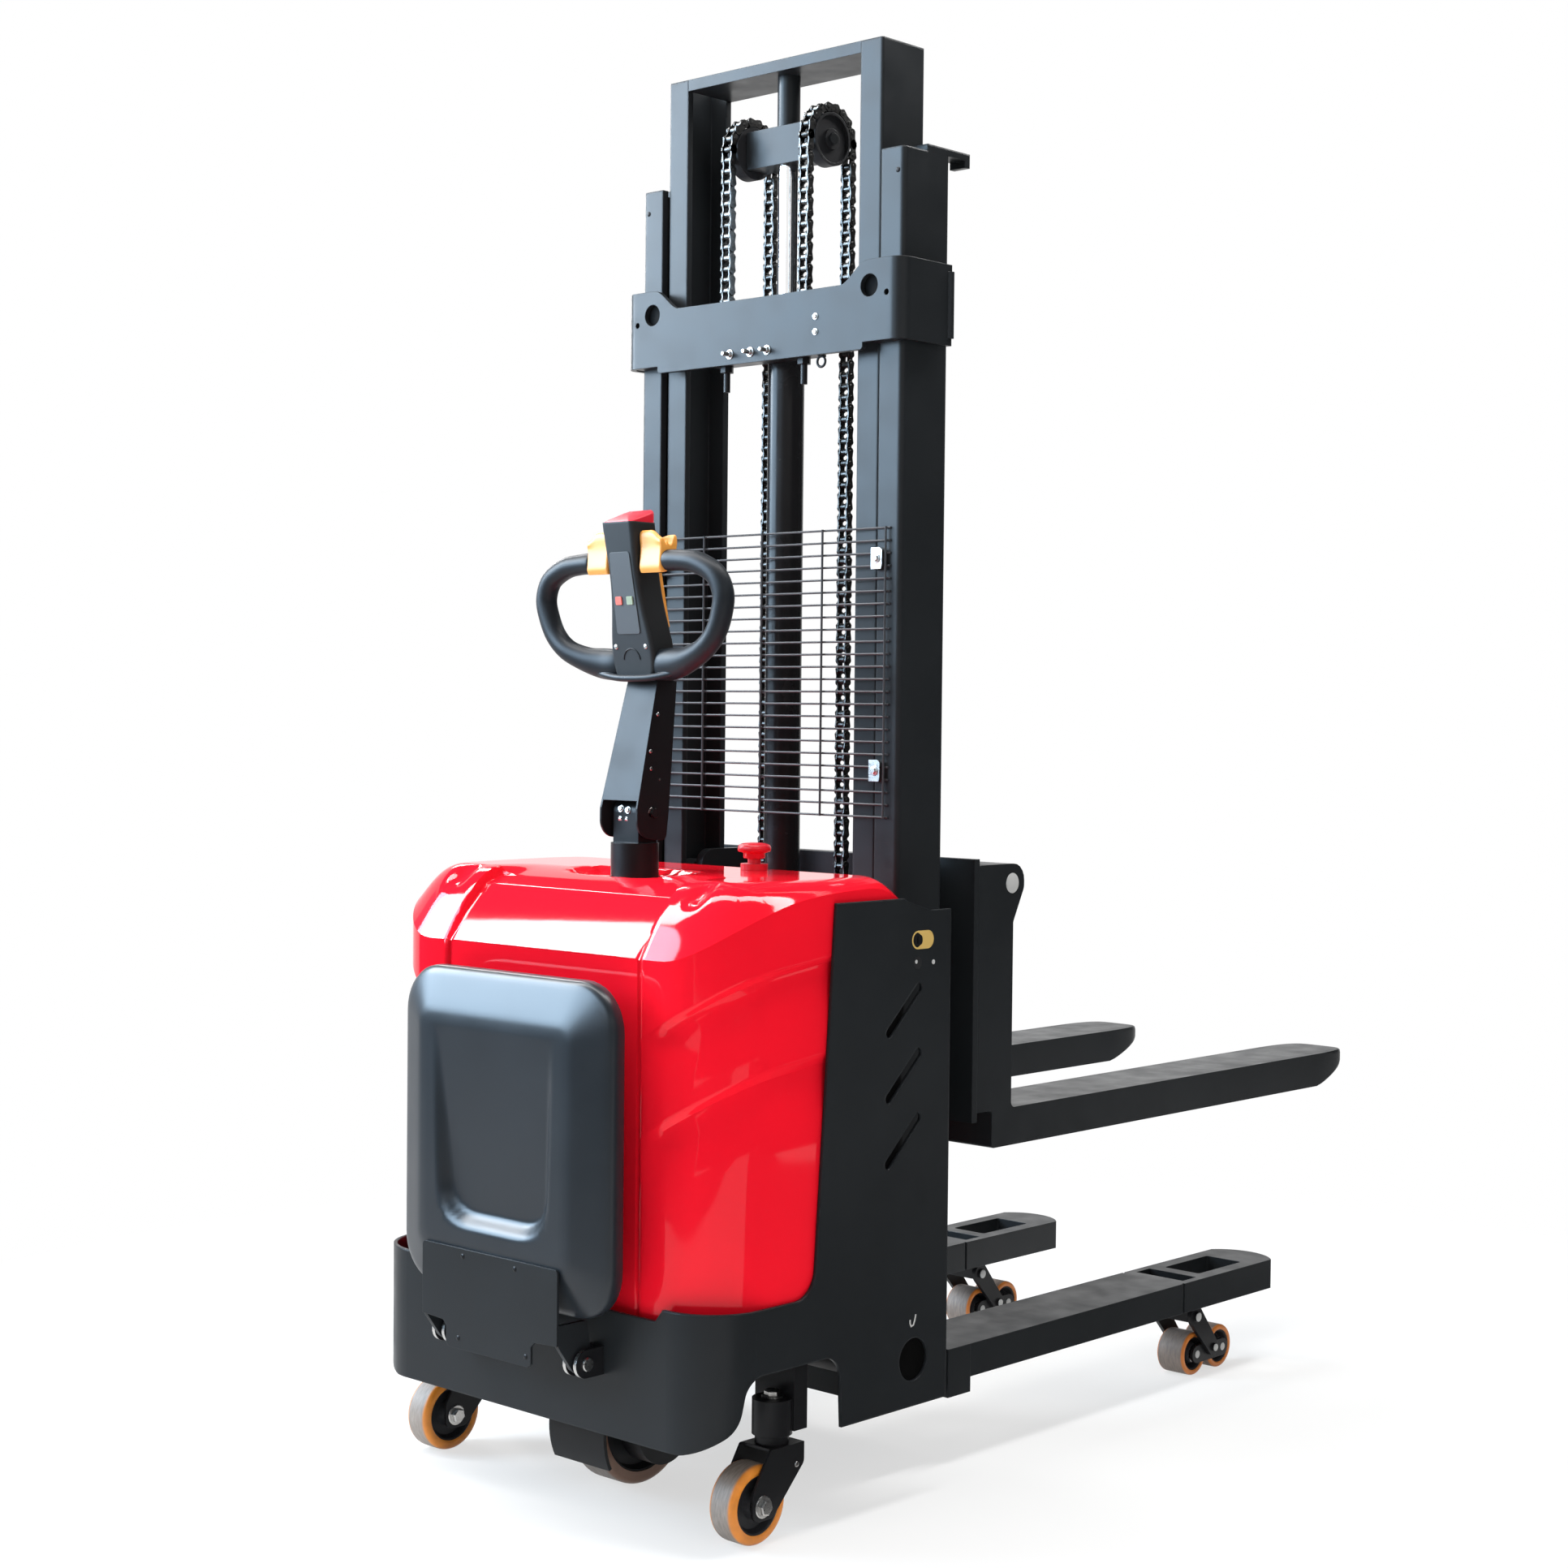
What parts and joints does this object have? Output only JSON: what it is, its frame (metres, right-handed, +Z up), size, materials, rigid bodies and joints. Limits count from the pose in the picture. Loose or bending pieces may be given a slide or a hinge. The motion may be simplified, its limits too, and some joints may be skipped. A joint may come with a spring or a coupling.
{
  "type": "self-loading stacker",
  "caption": "Powered pedestrian stacker with a chain-lift telescopic mast, L-shaped forks over support legs, steered tiller drive, folding ride-on platform and moulded hood.",
  "frame": {"origin": "on the floor under the middle of the whole machine's bounding box", "axes": "+Y along the forks towards their tips, +X to the machine's right hand side, +Z up"},
  "size_m": [0.824, 2.072, 2.415],
  "materials": {
    "charcoal_paint": "satin charcoal powder coat",
    "red_hood": "glossy red moulding",
    "battery_block": "plain dark case",
    "black_wire": "black coated wire",
    "chain_steel": "oiled steel",
    "black_iron": "oiled black",
    "chrome_rod": "hard chrome",
    "bright_steel": "bright zinc",
    "black_plastic": "fine grain",
    "red_plastic": "smooth red",
    "green_plastic": "smooth green",
    "amber_plastic": "smooth amber",
    "amber_polyurethane": "cast tread",
    "brown_polyurethane": "cast tread"
  },
  "bodies": {
    "chassis": {"chassis_shell": "charcoal_paint", "base_plate": "charcoal_paint", "hood": "red_hood", "battery_pack": "battery_block", "hydraulic_power_unit": "charcoal_paint", "right_outer_column": "charcoal_paint", "left_outer_column": "charcoal_paint", "mast_crossmember": "charcoal_paint", "mast_foot_beam": "charcoal_paint", "cylinder_barrel": "charcoal_paint", "right_leg": "charcoal_paint", "left_leg": "charcoal_paint", "mesh_guard": "black_wire", "platform_brackets": "charcoal_paint", "chain_anchors": "chain_steel", "front_chains": "chain_steel", "caster_brackets": "charcoal_paint", "estop_collar": "red_plastic", "roller_brackets": "charcoal_paint"},
    "inner_mast": {"right_inner_column": "charcoal_paint", "left_inner_column": "charcoal_paint", "inner_top_bar": "charcoal_paint", "inner_bottom_bar": "charcoal_paint", "crosshead": "charcoal_paint", "piston_rod": "chrome_rod", "chain_wraps": "chain_steel"},
    "chain_wheel_pair": {"chain_wheels": "black_iron"},
    "mast_rollers": {"inner_guide_rollers": "black_iron"},
    "carriage": {"carriage_frame": "charcoal_paint", "fork_shaft": "bright_steel", "right_fork": "charcoal_paint", "left_fork": "charcoal_paint", "rear_chains": "chain_steel"},
    "lower_carriage_rollers": {"carriage_lower_rollers": "black_iron"},
    "upper_carriage_rollers": {"carriage_upper_rollers": "black_iron"},
    "steered_drive": {"drive_unit": "charcoal_paint", "steering_column": "charcoal_paint"},
    "traction_wheel": {"drive_wheel": "brown_polyurethane"},
    "tiller": {"tiller_arm": "charcoal_paint", "tiller_head": "black_plastic", "tiller_grips": "black_plastic"},
    "belly_button": {"reverse_button": "red_plastic"},
    "paddles": {"throttle_paddles": "amber_plastic"},
    "lift_key": {"lift_button": "green_plastic"},
    "lower_key": {"lower_button": "red_plastic"},
    "horn": {"horn_lever": "amber_plastic"},
    "stop_knob": {"estop_knob": "red_plastic"},
    "switch": {"key_switch": "bright_steel"},
    "platform": {"platform_pad": "black_plastic", "platform_plate": "charcoal_paint"},
    "right_swivel": {"right_caster_fork": "charcoal_paint"},
    "right_caster": {"right_caster_wheel": "amber_polyurethane"},
    "right_rocker": {"right_bogie": "charcoal_paint"},
    "right_roller_a": {"right_rear_roller": "amber_polyurethane"},
    "right_roller_b": {"right_front_roller": "amber_polyurethane"},
    "left_swivel": {"left_caster_fork": "charcoal_paint"},
    "left_caster": {"left_caster_wheel": "amber_polyurethane"},
    "left_rocker": {"left_bogie": "charcoal_paint"},
    "left_roller_a": {"left_rear_roller": "amber_polyurethane"},
    "left_roller_b": {"left_front_roller": "amber_polyurethane"}
  },
  "joints": [
    {"name": "mast_lift", "type": "slide", "parent": "chassis", "child": "inner_mast", "axis": [0, 0, 1], "range_m": [-0.16, 1.34], "deforming": ["front_chains"]},
    {"name": "carriage_lift", "type": "slide", "parent": "inner_mast", "child": "carriage", "axis": [0, 0, 1], "range_m": [-0.16, 1.34], "deforming": ["rear_chains"]},
    {"name": "chain_wheel_turn", "type": "hinge", "parent": "inner_mast", "child": "chain_wheel_pair", "pos_m": [0, -0.362, 2.273], "axis": [1, 0, 0], "range_deg": [-169.1, 1401.7]},
    {"name": "mast_roller_turn", "type": "hinge", "parent": "inner_mast", "child": "mast_rollers", "pos_m": [0, -0.354, 0.387], "axis": [1, 0, 0], "range_deg": [-203.5, 1689.4]},
    {"name": "lower_carriage_roller_turn", "type": "hinge", "parent": "carriage", "child": "lower_carriage_rollers", "pos_m": [0, -0.351, 0.642], "axis": [1, 0, 0], "range_deg": [-217.7, 1808.5]},
    {"name": "upper_carriage_roller_turn", "type": "hinge", "parent": "carriage", "child": "upper_carriage_rollers", "pos_m": [0, -0.351, 0.973], "axis": [1, 0, 0], "range_deg": [-1808.5, 217.7]},
    {"name": "steering", "type": "hinge", "parent": "chassis", "child": "steered_drive", "pos_m": [0, -0.721, 0], "axis": [0, 0, 1], "range_deg": [-90, 90]},
    {"name": "drive_wheel_spin", "type": "hinge", "parent": "steered_drive", "child": "traction_wheel", "pos_m": [0, -0.721, 0.105], "axis": [1, 0, 0], "continuous": true},
    {"name": "tiller_tilt", "type": "hinge", "parent": "steered_drive", "child": "tiller", "pos_m": [0, -0.721, 1.116], "axis": [1, 0, 0], "range_deg": [0, 80], "stiffness_Nm_per_rad": 14, "springref_deg": -20.05},
    {"name": "throttle_turn", "type": "hinge", "parent": "tiller", "child": "paddles", "pos_m": [0, -0.73639, 1.53], "axis": [1, 0, 0], "range_deg": [-20, 20], "stiffness_Nm_per_rad": 0.5},
    {"name": "reverse_press", "type": "slide", "parent": "tiller", "child": "belly_button", "axis": [0, 0, -1], "range_m": [0, 0.004], "stiffness_N_per_m": 300, "springref_m": -0.02},
    {"name": "lift_press", "type": "slide", "parent": "tiller", "child": "lift_key", "axis": [0, 0.9839, 0.1786], "range_m": [0, 0.002], "stiffness_N_per_m": 300, "springref_m": -0.002},
    {"name": "lower_press", "type": "slide", "parent": "tiller", "child": "lower_key", "axis": [0, 0.9839, 0.1786], "range_m": [0, 0.002], "stiffness_N_per_m": 300, "springref_m": -0.002},
    {"name": "horn_press", "type": "hinge", "parent": "tiller", "child": "horn", "pos_m": [0, -0.684, 1.52], "axis": [1, 0, 0], "range_deg": [-6, 0], "stiffness_Nm_per_rad": 0.4, "springref_deg": 5.73},
    {"name": "stop_press", "type": "slide", "parent": "chassis", "child": "stop_knob", "axis": [0, 0, -1], "range_m": [0, 0.008]},
    {"name": "key_turn", "type": "hinge", "parent": "chassis", "child": "switch", "pos_m": [0.412, -0.479, 0.917], "axis": [1, 0, 0], "range_deg": [0, 60]},
    {"name": "platform_fold", "type": "hinge", "parent": "chassis", "child": "platform", "pos_m": [0, -0.982, 0.272], "axis": [1, 0, 0], "range_deg": [0, 90]},
    {"name": "right_caster_swivel", "type": "hinge", "parent": "chassis", "child": "right_swivel", "pos_m": [0.365, -0.765, 0.146], "axis": [0, 0, 1], "continuous": true},
    {"name": "right_caster_spin", "type": "hinge", "parent": "right_swivel", "child": "right_caster", "pos_m": [0.365, -0.82, 0.0625], "axis": [1, 0, 0], "continuous": true},
    {"name": "right_bogie_rock", "type": "hinge", "parent": "chassis", "child": "right_rocker", "pos_m": [0.266, 0.561, 0.05], "axis": [1, 0, 0], "range_deg": [-8, 8]},
    {"name": "right_rear_roller_spin", "type": "hinge", "parent": "right_rocker", "child": "right_roller_a", "pos_m": [0.266, 0.517, 0.042], "axis": [1, 0, 0], "continuous": true},
    {"name": "right_front_roller_spin", "type": "hinge", "parent": "right_rocker", "child": "right_roller_b", "pos_m": [0.266, 0.605, 0.042], "axis": [1, 0, 0], "continuous": true},
    {"name": "left_caster_swivel", "type": "hinge", "parent": "chassis", "child": "left_swivel", "pos_m": [-0.365, -0.765, 0.146], "axis": [0, 0, 1], "continuous": true},
    {"name": "left_caster_spin", "type": "hinge", "parent": "left_swivel", "child": "left_caster", "pos_m": [-0.365, -0.82, 0.0625], "axis": [1, 0, 0], "continuous": true},
    {"name": "left_bogie_rock", "type": "hinge", "parent": "chassis", "child": "left_rocker", "pos_m": [-0.266, 0.561, 0.05], "axis": [1, 0, 0], "range_deg": [-8, 8]},
    {"name": "left_rear_roller_spin", "type": "hinge", "parent": "left_rocker", "child": "left_roller_a", "pos_m": [-0.266, 0.517, 0.042], "axis": [1, 0, 0], "continuous": true},
    {"name": "left_front_roller_spin", "type": "hinge", "parent": "left_rocker", "child": "left_roller_b", "pos_m": [-0.266, 0.605, 0.042], "axis": [1, 0, 0], "continuous": true}
  ],
  "couplings": [
    {"joint": "carriage_lift", "follows": "mast_lift", "ratio": 1},
    {"joint": "chain_wheel_turn", "follows": "mast_lift", "rad_per_m": 18.231},
    {"joint": "mast_roller_turn", "follows": "mast_lift", "rad_per_m": 21.978},
    {"joint": "lower_carriage_roller_turn", "follows": "mast_lift", "rad_per_m": 23.529},
    {"joint": "upper_carriage_roller_turn", "follows": "mast_lift", "rad_per_m": -23.529}
  ]
}
